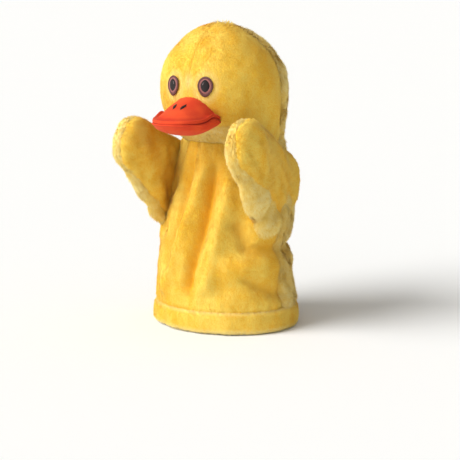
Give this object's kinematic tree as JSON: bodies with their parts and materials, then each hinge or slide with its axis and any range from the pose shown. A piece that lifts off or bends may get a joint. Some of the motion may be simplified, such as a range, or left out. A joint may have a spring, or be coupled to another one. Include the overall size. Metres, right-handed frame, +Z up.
{
  "type": "glove puppet",
  "caption": "Plush duck glove puppet with a nodding and turning head, two finger-worked wings and a stuffed bill that opens.",
  "frame": {"origin": "centre of the hand opening, in the plane of the hem's lower edge", "axes": "+Z up from the hem to the crown, -Y the way the face looks, +X the puppet's own left"},
  "size_m": [0.136, 0.155, 0.2585],
  "materials": {
    "smooth_plush": "short dense velvety pile, bright yellow",
    "fluffy_plush": "longer, paler and looser pile",
    "bill_cloth": "flat short-napped cloth, orange red",
    "lining_cloth": "thin plain-woven cloth",
    "yellow_thread": "sewing thread",
    "eye_thread": "satin-stitch embroidery thread, brown and mauve",
    "black_thread": "satin-stitch embroidery thread, black",
    "filling": "polyester fibre stuffing"
  },
  "bodies": {
    "glove": {"front_panel": "smooth_plush", "back_panel": "fluffy_plush", "hem_band": "smooth_plush", "hem_stitching": "yellow_thread", "hand_lining": "lining_cloth", "left_shoulder": "smooth_plush", "right_shoulder": "smooth_plush"},
    "neck": {"neck_sleeve": "smooth_plush"},
    "head": {"left_face": "smooth_plush", "right_face": "smooth_plush", "head_back": "fluffy_plush", "chin_panel": "fluffy_plush", "head_filling": "filling", "finger_pocket": "lining_cloth", "left_eye": "eye_thread", "right_eye": "eye_thread", "left_pupil": "black_thread", "right_pupil": "black_thread", "upper_bill": "bill_cloth", "upper_bill_filling": "filling", "upper_bill_lining": "bill_cloth", "left_nostril": "black_thread", "right_nostril": "black_thread"},
    "lower_bill": {"lower_bill": "bill_cloth", "lower_bill_filling": "filling", "lower_bill_lining": "bill_cloth"},
    "left_wing": {"left_wing_outer": "smooth_plush", "left_wing_inner": "fluffy_plush", "left_wing_sleeve": "lining_cloth"},
    "right_wing": {"right_wing_outer": "smooth_plush", "right_wing_inner": "fluffy_plush", "right_wing_sleeve": "lining_cloth"}
  },
  "joints": [
    {"name": "head_nod", "type": "hinge", "parent": "glove", "child": "neck", "pos_m": [0, 0.01, 0.14], "axis": [1, 0, 0], "range_deg": [-15, 18], "deforming": ["neck_sleeve"]},
    {"name": "head_turn", "type": "hinge", "parent": "neck", "child": "head", "pos_m": [0, 0.006, 0.157], "axis": [0, 0, 1], "range_deg": [-12, 12]},
    {"name": "bill_open", "type": "hinge", "parent": "head", "child": "lower_bill", "pos_m": [0, -0.044, 0.1784], "axis": [1, 0, 0], "range_deg": [0, 24]},
    {"name": "left_wing_swing", "type": "hinge", "parent": "glove", "child": "left_wing", "pos_m": [0.05, -0.03, 0.1348], "axis": [-0.4499, 0.5148, 0.7298], "range_deg": [-40, 25], "deforming": ["left_shoulder"]},
    {"name": "right_wing_swing", "type": "hinge", "parent": "glove", "child": "right_wing", "pos_m": [-0.05, -0.03, 0.1348], "axis": [-0.4499, -0.5148, -0.7298], "range_deg": [-40, 25], "deforming": ["right_shoulder"]}
  ]
}
